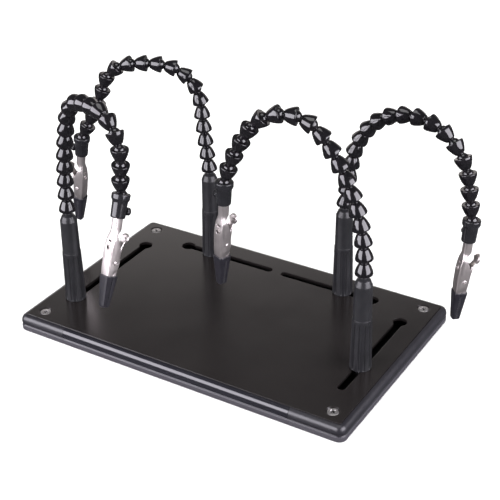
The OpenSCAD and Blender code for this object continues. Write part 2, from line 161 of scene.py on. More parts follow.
def rounded(points, steps=4):
    """The points' line with rounded corners: a third value is how far from the corner its curve starts."""
    line = []
    for i, point in enumerate(points):
        here = Vector(point[:2])
        reach = point[2] if len(point) > 2 else 0
        if not reach or i in (0, len(points) - 1):
            line.append(here)
            continue
        before = Vector(points[i - 1][:2]) - here
        after = Vector(points[i + 1][:2]) - here
        start = here + before.normalized() * min(reach, before.length * 0.49)
        end = here + after.normalized() * min(reach, after.length * 0.49)
        for k in range(steps + 1):
            t = k / steps
            line.append(start * (1 - t) ** 2 + here * 2 * t * (1 - t) + end * t * t)
    return line


def arc(centre, radius, start, end, steps):
    """Points on a circle, with the angles in degrees."""
    turns = [math.radians(start + (end - start) * k / steps) for k in range(steps + 1)]
    return [Vector((centre[0] + radius * math.cos(t), centre[1] + radius * math.sin(t))) for t in turns]


def between(x, table):
    """The value at x in a table of (x, value) rows, in straight lines."""
    return float(np.interp(x, [row[0] for row in table], [row[1] for row in table]))


# ---- Meshes ----

# A box's corners seen from above, and its faces over two such rows of corners
BOX_CORNERS = ((-1, -1), (1, -1), (1, 1), (-1, 1))
BOX_FACES = ((3, 2, 1, 0), (4, 5, 6, 7), (0, 1, 5, 4), (1, 2, 6, 5), (2, 3, 7, 6), (3, 0, 4, 7))


class Shape:
    """Vertices and faces gathered in millimetres, made into one piece at the end."""

    def __init__(self):
        self.verts = []
        self.faces = []

    def add(self, verts, faces, matrix=None):
        """Adds corners and faces, moved by the matrix if there is one."""
        start = len(self.verts)
        self.verts += [matrix @ Vector(v) if matrix else Vector(v) for v in verts]
        self.faces += [tuple(start + i for i in f) for f in faces]

    def mesh(self, name):
        """The gathered faces as Blender's mesh."""
        data = bpy.data.meshes.new(name)
        data.from_pydata([v[:] for v in self.verts], [], self.faces)
        return data


def rings(loops, closed_ring=True, closed_run=False, caps=False):
    """Faces between loops of equal length. caps closes the first and last loop."""
    size = len(loops[0])
    verts = [v for loop in loops for v in loop]
    faces = []
    runs = len(loops) if closed_run else len(loops) - 1
    for i in range(runs):
        a, b = i * size, (i + 1) % len(loops) * size
        for k in range(size if closed_ring else size - 1):
            m = (k + 1) % size
            faces.append((a + k, a + m, b + m, b + k))
    if caps:
        faces.append(tuple(reversed(range(size))))
        faces.append(tuple(range((len(loops) - 1) * size, len(loops) * size)))
    return verts, faces


def lathe(profile, count, closed=False):
    """A (radius, height) line turned about Z. A closed line makes a ring, and any other gets a face over
    each end."""
    loops = []
    for p in profile:
        radius = max(p[0], AXIS_R)
        loops.append([(radius * math.cos(TAU * k / count), radius * math.sin(TAU * k / count), p[1])
                      for k in range(count)])
    return rings(loops, closed_run=closed, caps=not closed)


def box(x, y, z, matrix):
    """A box of the given size about the matrix's origin."""
    corners = [(sx * x / 2, sy * y / 2, sz * z / 2) for sz in SIGNS for sx, sy in BOX_CORNERS]
    shape = Shape()
    shape.add(corners, BOX_FACES, matrix)
    return shape


def rod(radius, length, matrix):
    """A cylinder along the matrix's Z, about its origin."""
    half = length / 2
    shape = Shape()
    shape.add(*lathe([(0, -half), (radius, -half), (radius, half), (0, half)], 32), matrix)
    return shape


def tube(path, radius, sides):
    """A round wire along a path."""
    shape = Shape()
    loops = []
    for i, p in enumerate(path):
        ahead = (path[min(i + 1, len(path) - 1)] - path[max(i - 1, 0)]).normalized()
        across = ahead.cross(Vector((0, 1, 0))).normalized()
        up = ahead.cross(across)
        turns = [TAU * k / sides for k in range(sides)]
        loops.append([p + radius * (across * math.cos(t) + up * math.sin(t)) for t in turns])
    shape.add(*rings(loops, caps=True))
    return mesh_of(shape)


def clean(data):
    """Merges doubled points and turns every face outwards."""
    bm = bmesh.new()
    bm.from_mesh(data)
    bmesh.ops.remove_doubles(bm, verts=bm.verts, dist=MERGE)
    bmesh.ops.dissolve_degenerate(bm, edges=bm.edges, dist=MERGE / 3)
    bmesh.ops.recalc_face_normals(bm, faces=bm.faces)
    bm.to_mesh(data)
    bm.free()


def temporary(shape, name="tool"):
    """An object made from a shape, to be worked on or cut with."""
    obj = bpy.data.objects.new(name, shape.mesh(name))
    clean(obj.data)
    bpy.context.scene.collection.objects.link(obj)
    return obj


def worked(shape, name, cutters=(), thickness=0, bevel=0, steps=2):
    """The shape's mesh after thickening inwards, cutting with other shapes and softening its edges."""
    obj = temporary(shape, name)
    tools = [temporary(cutter) for cutter in cutters]
    if thickness:
        solid = obj.modifiers.new("metal", "SOLIDIFY")
        solid.thickness = thickness
        solid.offset = -1
        solid.use_even_offset = True
    for tool in tools:
        cut = obj.modifiers.new("cut", "BOOLEAN")
        cut.operation = "DIFFERENCE"
        cut.object = tool
        cut.solver = "EXACT"
    if bevel:
        soft = obj.modifiers.new("soft", "BEVEL")
        soft.width = bevel
        soft.segments = steps
        soft.limit_method = "ANGLE"
        soft.angle_limit = math.radians(40)
        soft.use_clamp_overlap = True
    bpy.context.view_layer.update()
    seen = obj.evaluated_get(bpy.context.evaluated_depsgraph_get())
    data = bpy.data.meshes.new_from_object(seen)
    for used in (obj, *tools):
        bpy.data.objects.remove(used)
    return data


def place(data, name, body, material, matrix, replaces=(), sharp=35):
    """A mesh becomes a piece that rides on a body. Edges sharper than an angle in degrees stay crisp."""
    data = data.copy()
    data.name = name
    drawn = np.empty(len(data.vertices) * 3, "f")
    data.vertices.foreach_get("co", drawn)
    data.attributes.new("drawn_at", "FLOAT_VECTOR", "POINT").data.foreach_set("vector", drawn * MM)
    data.transform(matrix)
    data.shade_smooth()
    data.set_sharp_from_angle(angle=math.radians(sharp))
    data.materials.clear()
    data.materials.append(material)
    obj = bpy.data.objects.new(name, data)
    bpy.context.scene.collection.objects.link(obj)
    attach(obj, body)
    if replaces:
        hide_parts(*replaces)


def keep(name, material):
    """A CAD node that stays as it is, with a better material."""
    node = frame["nodes"][name]
    node.data.materials.clear()
    node.data.materials.append(material)


def mesh_of(shape):
    """The shape's mesh, with doubled points merged and its faces outwards."""
    data = shape.mesh("shape")
    clean(data)
    return data


# ---- Materials ----

# The part of a noise's range that its values mostly fill
NOISE_SPAN = (0.3, 0.7)
# The frame's plain lower band: its upper edge in millimetres, and its paler colour, a painted reflection of
# the pale floor
BAND_TOP = 4.8
BAND_REFLECTION_COLOUR = (0.034, 0.032, 0.038)


class Finish:
    """A Principled material whose colour, roughness and relief vary over the surface. A local finish
    follows each piece as it was drawn, and any other follows the frame."""

    def __init__(self, name, local=False):
        self.material = bpy.data.materials.new(name)
        self.material.use_nodes = True
        self.nodes = self.material.node_tree.nodes
        self.links = self.material.node_tree.links
        self.shader = self.nodes["Principled BSDF"]
        self.place = self.nodes.new("ShaderNodeTexCoord").outputs["Object"]
        if local:
            drawn = self.nodes.new("ShaderNodeAttribute")
            drawn.attribute_name = "drawn_at"
            self.place = drawn.outputs["Vector"]

    def noise(self, size_mm, detail=3.0, stretch=None):
        """Cloudy values about a size across, longer along an axis whose stretch is small."""
        noise = self.nodes.new("ShaderNodeTexNoise")
        noise.inputs["Scale"].default_value = 1 / (size_mm * MM)
        noise.inputs["Detail"].default_value = detail
        source = self.place
        if stretch:
            mapping = self.nodes.new("ShaderNodeMapping")
            mapping.inputs["Scale"].default_value = stretch
            self.links.new(source, mapping.inputs["Vector"])
            source = mapping.outputs["Vector"]
        self.links.new(source, noise.inputs["Vector"])
        return noise.outputs["Fac"]

    def mapped(self, value, source, result):
        """A value carried from one range to another."""
        span = self.nodes.new("ShaderNodeMapRange")
        for name, bound in zip(("From Min", "From Max", "To Min", "To Max"), (*source, *result)):
            span.inputs[name].default_value = bound
        self.links.new(value, span.inputs["Value"])
        return span.outputs["Result"]

    def colour(self, dark, light, size_mm):
        """A colour that drifts between two."""
        mix = self.nodes.new("ShaderNodeMix")
        mix.data_type = "RGBA"
        mix.inputs["A"].default_value = (*dark, 1)
        mix.inputs["B"].default_value = (*light, 1)
        self.links.new(self.mapped(self.noise(size_mm), NOISE_SPAN, (0, 1)), mix.inputs["Factor"])
        self.links.new(mix.outputs["Result"], self.shader.inputs["Base Color"])

    def roughness(self, low, high, size_mm, stretch=None):
        """A roughness that drifts between two values."""
        value = self.mapped(self.noise(size_mm, 4.0, stretch), NOISE_SPAN, (low, high))
        self.links.new(value, self.shader.inputs["Roughness"])

    def relief(self, size_mm, depth_mm, strength, stretch=None):
        """Fine bumps, added to any that are there."""
        bump = self.nodes.new("ShaderNodeBump")
        bump.inputs["Distance"].default_value = depth_mm * MM
        bump.inputs["Strength"].default_value = strength
        self.links.new(self.noise(size_mm, 2.0, stretch), bump.inputs["Height"])
        if self.shader.inputs["Normal"].links:
            self.links.new(self.shader.inputs["Normal"].links[0].from_socket, bump.inputs["Normal"])
        self.links.new(bump.outputs["Normal"], self.shader.inputs["Normal"])

    def glow_beyond(self, near, far, low, high):
        """A light sweep: the surface's glow rises from low to high between two distances from the origin."""
        away = self.nodes.new("ShaderNodeVectorMath")
        away.operation = "LENGTH"
        self.links.new(self.place, away.inputs[0])
        glow = self.mapped(away.outputs["Value"], (near, far), (low, high))
        self.links.new(glow, self.shader.inputs["Emission Strength"])
        self.shader.inputs["Emission Color"].default_value = (1, 1, 1, 1)

    def band_below(self, height_mm, colour, roughness):
        """Another colour and roughness below a height."""
        parts = self.nodes.new("ShaderNodeSeparateXYZ")
        self.links.new(self.place, parts.inputs["Vector"])
        fade = 0.15
        step = self.mapped(parts.outputs["Z"], ((height_mm + fade) * MM, (height_mm - fade) * MM), (0, 1))
        for socket, kind, value in (("Base Color", "RGBA", (*colour, 1)), ("Roughness", "FLOAT", roughness)):
            mix = self.nodes.new("ShaderNodeMix")
            mix.data_type = kind
            self.links.new(step, mix.inputs["Factor"])
            self.links.new(self.shader.inputs[socket].links[0].from_socket, mix.inputs["A"])
            mix.inputs["B"].default_value = value
            self.links.new(mix.outputs["Result"], self.shader.inputs[socket])

    def set(self, **values):
        """Plain values for the shader's sockets, with _ for a space in a name."""
        for socket, value in values.items():
            self.shader.inputs[socket.replace("_", " ")].default_value = value


def plate_finish():
    """Satin powder coat, smooth to the eye."""
    f = Finish("plate_powder_coat")
    f.colour((0.0085, 0.0072, 0.0068), (0.0105, 0.009, 0.0085), 45)
    f.roughness(0.2, 0.24, 25)
    f.relief(0.7, 0.004, 0.12)
    f.set(IOR=1.48)
    return f.material


def frame_finish():
    """Satin moulded plastic of the end pieces."""
    f = Finish("frame_moulded")
    f.colour((0.0085, 0.008, 0.0105), (0.012, 0.0115, 0.0145), 14)
    f.roughness(0.34, 0.4, 6)
    # Painted reflection: the lower band is paler, standing in for the pale floor that it would mirror
    f.band_below(BAND_TOP, BAND_REFLECTION_COLOUR, 0.5)
    f.relief(0.4, 0.006, 0.2)
    f.set(IOR=1.48)
    return f.material


def rail_finish():
    """Glossier plastic of the middle rails."""
    f = Finish("rail_moulded")
    f.colour((0.008, 0.0078, 0.0105), (0.011, 0.0108, 0.014), 20)
    f.roughness(0.14, 0.18, 9)
    # Painted reflection: the lower band is paler, standing in for the pale floor that it would mirror
    f.band_below(BAND_TOP, BAND_REFLECTION_COLOUR, 0.45)
    f.relief(0.6, 0.004, 0.15)
    f.set(IOR=1.5)
    return f.material


def cover_finish():
    """Matt black sheet under the base, whose near black also serves as painted shade seen through the slots.
    """
    f = Finish("cover_matt")
    f.colour((0.003, 0.003, 0.003), (0.005, 0.005, 0.005), 10)
    f.roughness(0.7, 0.85, 5)
    f.relief(0.5, 0.01, 0.3)
    f.set(IOR=1.3)
    return f.material


def post_finish():
    """Satin moulded plastic, with the fine lines of its mould along the height."""
    f = Finish("post_moulded", True)
    f.colour((0.0085, 0.0085, 0.0095), (0.0125, 0.0125, 0.014), 8)
    f.roughness(0.3, 0.38, 5)
    f.relief(0.4, 0.006, 0.25)
    f.relief(1.2, 0.01, 0.12, (1, 1, 0.08))
    f.set(IOR=1.38)
    return f.material


def sleeve_finish():
    """Semi-gloss moulded plastic."""
    f = Finish("sleeve_moulded", True)
    f.colour((0.007, 0.007, 0.008), (0.010, 0.010, 0.0115), 6)
    f.roughness(0.15, 0.2, 4)
    f.relief(0.8, 0.006, 0.15)
    f.set(IOR=1.45)
    return f.material


def bead_finish():
    """Glossy moulded plastic."""
    f = Finish("bead_gloss", True)
    f.colour((0.003, 0.0028, 0.0034), (0.0055, 0.005, 0.006), 5)
    f.roughness(0.06, 0.11, 3)
    f.relief(4.0, 0.008, 0.1)
    f.set(IOR=1.5)
    return f.material


def nickel_finish():
    """Plated bent sheet, with fine drawing lines along the strip and a warm tint."""
    f = Finish("clip_nickel", True)
    f.colour((0.46, 0.425, 0.415), (0.54, 0.5, 0.485), 6)
    f.roughness(0.3, 0.4, 1.2, (1, 1, 0.06))
    f.relief(0.3, 0.002, 0.2, (1, 1, 0.04))
    f.set(Metallic=0.95)
    return f.material


def steel_finish():
    """Bright plated steel."""
    f = Finish("steel_plated")
    f.colour((0.45, 0.45, 0.47), (0.6, 0.6, 0.62), 2)
    f.roughness(0.16, 0.26, 0.9)
    f.relief(0.4, 0.003, 0.2)
    f.set(Metallic=1.0)
    return f.material


def screw_finish():
    """Steel of the plate screws, darkened with painted shade in the cross and round the head."""
    f = Finish("screw_darkened")
    f.colour((0.26, 0.25, 0.245), (0.4, 0.39, 0.38), 1.5)
    f.roughness(0.25, 0.35, 0.8)
    # Painted shade: a little below the head's top the steel turns near black, standing for the shade in the
    # cross recess and round the head
    f.band_below(SCREW_TOP - PAINTED_SHADE_DROP, (0.02, 0.02, 0.02), 0.6)
    f.relief(0.3, 0.004, 0.3)
    f.set(Metallic=0.85)
    return f.material


def boot_finish():
    """Soft rubber, with a slight bloom."""
    f = Finish("boot_rubber", True)
    f.colour((0.0065, 0.006, 0.0085), (0.0105, 0.010, 0.0135), 3)
    f.roughness(0.3, 0.4, 2)
    f.relief(0.3, 0.012, 0.3)
    f.set(IOR=1.36, Sheen_Weight=0.04, Sheen_Roughness=0.4)
    return f.material


def foot_finish():
    """Matt rubber."""
    f = Finish("foot_rubber")
    f.colour((0.012, 0.012, 0.012), (0.02, 0.02, 0.02), 3)
    f.roughness(0.6, 0.75, 2)
    f.relief(0.3, 0.03, 0.5)
    return f.material


# ---- Base ----

BASE_LOW, BASE_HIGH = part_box("right_end_frame")
HALF_W = BASE_HIGH.x / MM
HALF_D = BASE_HIGH.y / MM
SEAM_X = BASE_LOW.x / MM
FRAME_BOTTOM = BASE_LOW.z / MM
PLATE_LOW, PLATE_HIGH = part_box("base_plate")
PLATE_TOP = PLATE_HIGH.z / MM
PLATE_BOTTOM = PLATE_LOW.z / MM
PLATE_HALF_W = PLATE_HIGH.x / MM
PLATE_HALF_D = PLATE_HIGH.y / MM
CORNER_R = 5.5
SEAM_GAP = 0.12

# The plate screws: where they stand, how far their heads lie below the plate's top, and how far below
# their own top the painted shade starts
SCREW_X = 117.0
SCREW_Y = 69.5
SCREW_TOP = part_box("plate_screws")[1].z / MM
SCREW_SPOTS = [(x, y) for x in (-SCREW_X, SCREW_X) for y in (-SCREW_Y, SCREW_Y)]
SINK_R = 4.75
HEAD_DROP = 0.3
PAINTED_SHADE_DROP = 0.3

# The keyhole slots, from the centre of the narrow end to the centre of the round entry
SLOT_R = 3.0
ENTRY_R = 5.2
SIDE_SLOT = {"x": 110.0, "front": -44.0, "entry": 45.0}
BACK_SLOT = {"y": 61.0, "inner": 7.0, "entry": 80.0}


def frame_section():
    """The moulding's section: how far in from its outside, and its height. It rounds over towards the
    plate, and a groove parts the round from the plain band below. A ledge reaches in under the plate."""
    lip = HALF_W - PLATE_HALF_W - 0.1
    wall, ledge, ledge_low = 2.6, 13, PLATE_BOTTOM - 2
    band = [(0.15, FRAME_BOTTOM, 0.3), (0, FRAME_BOTTOM + 0.5, 0.3), (0, 4.55, 0.3)]
    groove = [(0.75, 5.15, 0.3), (0.75, 5.75, 0.3), (0.1, 6.4, 0.3)]
    round_over = [(0, 7.2, 0.4), (0.1, 8.4, 0.5), (0.4, 9.6, 0.5), (0.95, 10.7, 0.5), (1.7, 11.5, 0.4),
                  (2.6, 12.0, 0.4)]
    inside = [(lip - 0.15, PLATE_TOP - 0.5, 0.1), (lip, PLATE_TOP - 0.65, 0.1), (lip, PLATE_BOTTOM),
              (ledge, PLATE_BOTTOM), (ledge, ledge_low), (wall, ledge_low), (wall, FRAME_BOTTOM),
              (0.5, FRAME_BOTTOM)]
    return rounded(band + groove + round_over + inside, 5)


def sweep_frame(stations):
    """The moulding along stations, each a point on its outside and the direction outwards."""
    section = frame_section()
    loops = []
    for point, out in stations:
        loops.append([(point[0] - out[0] * s.x, point[1] - out[1] * s.x, s.y) for s in section])
    return rings(loops, caps=True)


def end_stations(side):
    """Stations along the front, round both corners and along the back of one end of the base."""
    inner_x, inner_y = HALF_W - CORNER_R, HALF_D - CORNER_R
    turn_steps = 14
    seam, bend = SEAM_X + SEAM_GAP, inner_x - 0.01
    rows = [((seam, -HALF_D), (0, -1)), ((bend, -HALF_D), (0, -1))]
    for sign, first in ((-1, -90), (1, 0)):
        for k in range(turn_steps + 1):
            t = math.radians(first + 90 * k / turn_steps)
            out = (math.cos(t), math.sin(t))
            rows.append(((inner_x + CORNER_R * out[0], sign * inner_y + CORNER_R * out[1]), out))
    rows += [((bend, HALF_D), (0, 1)), ((seam, HALF_D), (0, 1))]
    return [((side * p[0], p[1]), (side * o[0], o[1])) for p, o in rows]


def end_frame(side):
    """The C-shaped end piece, with a boss under each of its two screws."""
    shape = Shape()
    shape.add(*sweep_frame(end_stations(side)))
    bore, boss_r = 2.0, 5
    boss = rounded([(bore, FRAME_BOTTOM + 1.5), (bore, FRAME_BOTTOM + 0.01), (boss_r, FRAME_BOTTOM, 0.4),
                    (boss_r, PLATE_BOTTOM), (bore, PLATE_BOTTOM)], 4)
    for end in SIGNS:
        spot = Matrix.Translation((side * SCREW_X, end * SCREW_Y, 0))
        shape.add(*lathe(boss, 40, closed=True), spot)
    return mesh_of(shape)


def long_rail(side):
    """The straight piece between the seams, along the front or the back."""
    reach = SEAM_X - SEAM_GAP
    shape = Shape()
    shape.add(*sweep_frame([((x, side * HALF_D), (0, side)) for x in (-reach, 0, reach)]))
    return mesh_of(shape)


def circle_outline(x, y, radius):
    """A circle's points, without the last one that would lie on the first."""
    count = 48
    return arc((x, y), radius, 0, 360 * (count - 1) / count, count - 1)


def keyhole_outline(start, end):
    """A slot from start to end, both (x, y), with a round entry at its end."""
    run = Vector(end) - Vector(start)
    turn = math.degrees(math.atan2(run.y, run.x))
    half = math.degrees(math.asin(SLOT_R / ENTRY_R))
    line = arc(start, SLOT_R, turn + 90, turn + 270, 16)
    line += arc(end, ENTRY_R, turn - 180 + half, turn + 180 - half, 32)
    return line


def plate_outline():
    """A rectangle with round corners that share their centres with the frame's."""
    r = CORNER_R - (HALF_W - PLATE_HALF_W)
    line = []
    for sx, sy, first in ((1, -1, -90), (1, 1, 0), (-1, 1, 90), (-1, -1, 180)):
        line += arc((sx * (PLATE_HALF_W - r), sy * (PLATE_HALF_D - r)), r, first, first + 90, 10)
    return line


def base_plate():
    """A flat plate cut from curves, whose edges keep a fine bevel."""
    edge = 0.28
    curve = bpy.data.curves.new("plate_lines", "CURVE")
    curve.dimensions = "2D"
    curve.fill_mode = "BOTH"
    curve.extrude = (PLATE_TOP - PLATE_BOTTOM) / 2 - edge
    curve.bevel_depth = edge
    curve.bevel_resolution = 2
    curve.offset = -edge
    outlines = [plate_outline()]
    for side in SIGNS:
        x, y = side * SIDE_SLOT["x"], BACK_SLOT["y"]
        outlines.append(keyhole_outline((x, SIDE_SLOT["front"]), (x, SIDE_SLOT["entry"])))
        outlines.append(keyhole_outline((side * BACK_SLOT["inner"], y), (side * BACK_SLOT["entry"], y)))
    outlines += [circle_outline(x, y, SINK_R) for x, y in SCREW_SPOTS]
    for outline in outlines:
        spline = curve.splines.new("POLY")
        spline.points.add(len(outline) - 1)
        for point, at in zip(spline.points, outline):
            point.co = (at.x, at.y, 0, 1)
        spline.use_cyclic_u = True
    obj = bpy.data.objects.new("plate_lines", curve)
    bpy.context.scene.collection.objects.link(obj)
    bpy.context.view_layer.update()
    data = bpy.data.meshes.new_from_object(obj.evaluated_get(bpy.context.evaluated_depsgraph_get()))
    bpy.data.objects.remove(obj)
    data.transform(Matrix.Translation((0, 0, (PLATE_TOP + PLATE_BOTTOM) / 2)))
    return data


def countersinks():
    """The cones under the screw heads, as thin rings that line their holes."""
    outer, bore, low = SINK_R + 0.05, 2.3, PLATE_BOTTOM + 0.05
    ring = [(outer, PLATE_TOP - 0.3), (SINK_R - 0.3, PLATE_TOP - 0.35), (bore, PLATE_TOP - 2.4), (bore, low),
            (outer, low)]
    shape = Shape()
    for x, y in SCREW_SPOTS:
        shape.add(*lathe(ring, 48, closed=True), Matrix.Translation((x, y, 0)))
    return mesh_of(shape)


def screw_head():
    """A countersunk head and its shank, with a cross recess. The crown is a little above height 0."""
    shank_r, shank_end = 2.0, -9.0
    head = Shape()
    head.add(*lathe(rounded([(0, 0.12), (2.6, 0.08, 1.0), (3.6, -0.12, 0.3), (3.9, -0.5, 0.25),
                             (shank_r, -2.2, 0.3), (shank_r, shank_end, 0.3), (0, shank_end)], 4), 64))
    mouth, deep = 0.6, 1.9
    tools = []
    for turn in (0, 90):
        bar = Shape()
        corners = []
        for z, length, width in ((mouth, 2.4, 0.68), (-deep, 0.75, 0.4)):
            corners += [(x * length, y * width, z) for x, y in BOX_CORNERS]
        bar.add(corners, BOX_FACES, Matrix.Rotation(math.radians(turn), 4, "Z"))
        tools.append(bar)
    hub = Shape()
    hub.add(*lathe([(0, mouth), (1.15, mouth), (0.7, -deep), (0, -deep - 0.3)], 24))
    return worked(head, "screw", [*tools, hub], bevel=0.06)


def rubber_feet():
    """A round pad below each screw."""
    pad = rounded([(0, 0), (5.3, 0, 0.4), (6, FRAME_BOTTOM, 0.2), (0, FRAME_BOTTOM)], 4)
    shape = Shape()
    for x, y in SCREW_SPOTS:
        shape.add(*lathe(pad, 48), Matrix.Translation((x, y, 0)))
    return mesh_of(shape)


def build_base(looks):
    """Every piece of the base. Each screw's cross stands at its own angle."""
    place(base_plate(), "top_plate", "base", looks["plate"], TO_METRES, ["base_plate"], 25)
    place(countersinks(), "plate_countersinks", "base", looks["plate"], TO_METRES)
    for side, name in zip(SIGNS, ("left_end", "right_end")):
        place(end_frame(side), f"{name}_moulding", "base", looks["frame"], TO_METRES,
              [f"{name}_frame"])
    for side, name in zip(SIGNS, ("front", "back")):
        place(long_rail(side), f"{name}_moulding", "base", looks["rail"], TO_METRES,
              [f"{name}_rail"])
    head = screw_head()
    for i, (sx, sy, turn) in enumerate(((-1, -1, 20), (1, -1, 65), (1, 1, 35), (-1, 1, 50))):
        spot = TO_METRES @ Matrix.Translation((sx * SCREW_X, sy * SCREW_Y, PLATE_TOP - HEAD_DROP))
        place(head, f"plate_screw_{i + 1}", "base", looks["screw"],
              spot @ Matrix.Rotation(math.radians(turn), 4, "Z"), ["plate_screws"] if i == 0 else [])
    place(rubber_feet(), "feet", "base", looks["foot"], TO_METRES, ["rubber_feet"])
    # The bottom cover's near-black colour also stands in as painted shade under the slots
    keep("bottom_cover", looks["cover"])


# ---- Arms ----

def post_mesh(ball_z):
    """A fluted grip under a smooth taper, a shoulder and the chain's first ball."""
    flutes, per_flute, flute_depth, flute_reach = 12, 12, 0.62, 0.24
    grip_h, shoulder_z = 39.0, 64.3
    outline = rounded([(2.8, 0.1), (7.42, 0.1, 0.05), (7.48, 0.3, 0.1), (6.76, grip_h - 0.15, 0.12),
                       (6.45, grip_h + 0.05, 0.05), (6.1, shoulder_z - 0.1, 0.1),
                       (6.0, shoulder_z + 0.1, 0.1), (4.6, 68.0, 0.5), (3.05, 69.25, 0.4),
                       (2.5, 69.5, 0.2), (NECK_R, 70.4)], 5)
    foot = [p for p in outline if p.y < 1]
    above = [p for p in outline if p.y > 1]
    wall = [(p.y, p.x) for p in (foot[-1], above[0])]
    wall_z = [0.6, 1.0, 3.8, 5, 9, 14, 19, 24, 29, 32, 34, 35.2, 36, 36.6, 37.2, 38]
    fluted = [(0.6, 0), (1.0, 1), (35.2, 1), (37.0, 0)]
    count = flutes * per_flute
    loops = []
    for p in foot + [Vector((between(z, wall), z)) for z in wall_z] + above:
        depth = flute_depth * between(p.y, fluted)
        loop = []
        for k in range(count):
            turn = TAU * k / count
            phase = (k % per_flute) / per_flute
            radius = p.x - depth * max(0.0, 1 - (abs(phase - 0.5) / flute_reach) ** 2)
            loop.append((radius * math.cos(turn), radius * math.sin(turn), p.y))
        loops.append(loop)
    shape = Shape()
    shape.add(*rings(loops))
    bottom = ball_z - 3
    ball = [(NECK_R, 70.2), *arc((0, ball_z), BALL_R, -53, 72.5, 20), (BEAD_BORE_R, bottom), (0, bottom)]
    shape.add(*lathe(ball, 48))
    return mesh_of(shape)


def bead_mesh():
    """A bead with its mouth at height 0: socket, lip, round shoulder, taper, neck and ball."""
    ball_z = SOCKET_Z + PITCH
    lip = math.sqrt(SOCKET_R ** 2 - SOCKET_Z ** 2)
    skirt = rounded([(lip, 0), (5.75, 0, 0.25), (6.05, 0.35, 0.3), (5.98, 1.4, 0.6), (5.68, 2.7, 0.8),
                     (5.15, 4.2, 1.0), (4.5, 5.9, 1.0), (3.3, 8.1, 0.6), (NECK_R, 8.5, 0.4),
                     (NECK_R, ball_z - math.sqrt(BALL_R ** 2 - NECK_R ** 2))], 6)
    neck_angle = math.degrees(math.acos(NECK_R / BALL_R))
    open_top = math.degrees(math.acos(BEAD_BORE_R / BALL_R))
    ball = arc((0, ball_z), BALL_R, 3 - neck_angle, open_top, 18)
    roof = math.degrees(math.acos(BEAD_BORE_R / SOCKET_R))
    mouth = math.degrees(math.asin(SOCKET_Z / SOCKET_R))
    socket = arc((0, SOCKET_Z), SOCKET_R, roof, 1 - mouth, 14)
    shape = Shape()
    shape.add(*lathe(skirt + ball + socket, 56, closed=True))
    return mesh_of(shape)


def ferrule_mesh():
    """A collar over a slightly tapered sleeve, round the chain's last ball."""
    bore, bore_roof = 3.9, 8.6
    lip = math.sqrt(SOCKET_R ** 2 - SOCKET_Z ** 2)
    line = rounded([(lip, -SOCKET_Z), (5.6, -SOCKET_Z, 0.4), (6.2, -0.7, 0.5), (6.15, 2.6, 0.7),
                    (5.2, 4.3, 0.5), (5.12, 5.5, 0.3), (4.9, FERRULE_L - 0.7, 0.5), (4.6, FERRULE_L, 0.3),
                    (bore, FERRULE_L, 0.3), (bore, bore_roof, 0.3), (1.5, bore_roof - 0.2, 0.3)], 5)
    socket = arc((0, 0), SOCKET_R, 68, -16, 14)
    shape = Shape()
    shape.add(*lathe(line + socket, 64, closed=True))
    return mesh_of(shape)


def knob_mesh():
    """A thumb screw's knurled head and shank along +Z, from the clip's shank outwards."""
    teeth, per_tooth, tooth_depth = 18, 4, 0.16
    count = teeth * per_tooth
    # Radius, height and how deep the knurling is there
    stations = ((1.2, 2.8, 0), (1.2, 5.4, 0), (2.3, 5.5, 0), (2.6, 5.75, 0.3), (2.7, 6.0, 1), (2.7, 8.0, 1),
                (2.6, 8.25, 0.4), (2.25, 8.5, 0), (1.2, 8.5, 0), (1.0, 8.2, 0), (AXIS_R, 8.2, 0))
    loops = []
    for radius, z, knurl in stations:
        loop = []
        for k in range(count):
            turn = TAU * k / count
            r = radius - tooth_depth * knurl * (k % per_tooth in (1, 2))
            loop.append((r * math.cos(turn), r * math.sin(turn), z))
        loops.append(loop)
    shape = Shape()
    shape.add(*rings(loops, caps=True))
    return mesh_of(shape)


def build_chains(looks):
    """A moulded bead at every bead of the frame."""
    bead = bead_mesh()
    for arm in ARMS:
        for part in ("riser", "arch", "drop"):
            node = f"{arm}_{part}_beads"
            for i, matrix in enumerate(bead_matrices(node)):
                place(bead, f"{arm}_{part}_bead_{i + 1}", f"{arm}_{part}", looks["bead"],
                      matrix, [node] if i == 0 else [], 50)


def build_posts(looks):
    """The four posts, with the studs below them."""
    for arm in ARMS:
        matrix = post_matrix(arm)
        ball_z = (joint_place(f"{arm}_lean").z - matrix.translation.z) / MM
        place(post_mesh(ball_z), f"{arm}_column", f"{arm}_column", looks["post"], matrix,
              [f"{arm}_post"], 40)
        keep(f"{arm}_stud", looks["steel"])


# ---- Clips, drawn with their origin at the ferrule's joint ----

# ACROSS turns a shape's Z to the lever's side, PIVOT carries it to the pin and along it, and HOLE_C is
# where the round hole in the fixed jaw's back lies along the clip.
ACROSS = Matrix.Rotation(math.radians(90), 4, "Y")
PIVOT = Matrix.Translation((PIVOT_U, 0, PIVOT_C)) @ Matrix.Rotation(math.radians(90), 4, "X")
HOLE_C = FERRULE_L + 19.5


def channel(stations):
    """A bent strip: each station is (along, half width, back, side edge, bend radius), and the section
    runs from one side's edge round the back to the other's."""
    loops = []
    for z, half, back, edge, bend in stations:
        line = rounded([(edge, half), (back, half, bend), (back, -half, bend), (edge, -half)])
        loops.append([(p.x, p.y, z) for p in line])
    shape = Shape()
    shape.add(*rings(loops, closed_ring=False))
    return shape


def sections(table):
    """A table of stations filled in at short steps. Each value is the mean of the line through the table's
    values at seven places round it, which softens the bends."""
    step, soft = 0.75, 1.2
    first, last = table[0][0], table[-1][0]
    count = round((last - first) / step)
    rows = []
    for k in range(count + 1):
        z = first + (last - first) * k / count
        row = [z]
        for i in range(1, len(table[0])):
            line = [(r[0], r[i]) for r in table]
            row.append(sum(between(z + soft * d / 3, line) for d in range(-3, 4)) / 7)
        rows.append(row)
    return rows


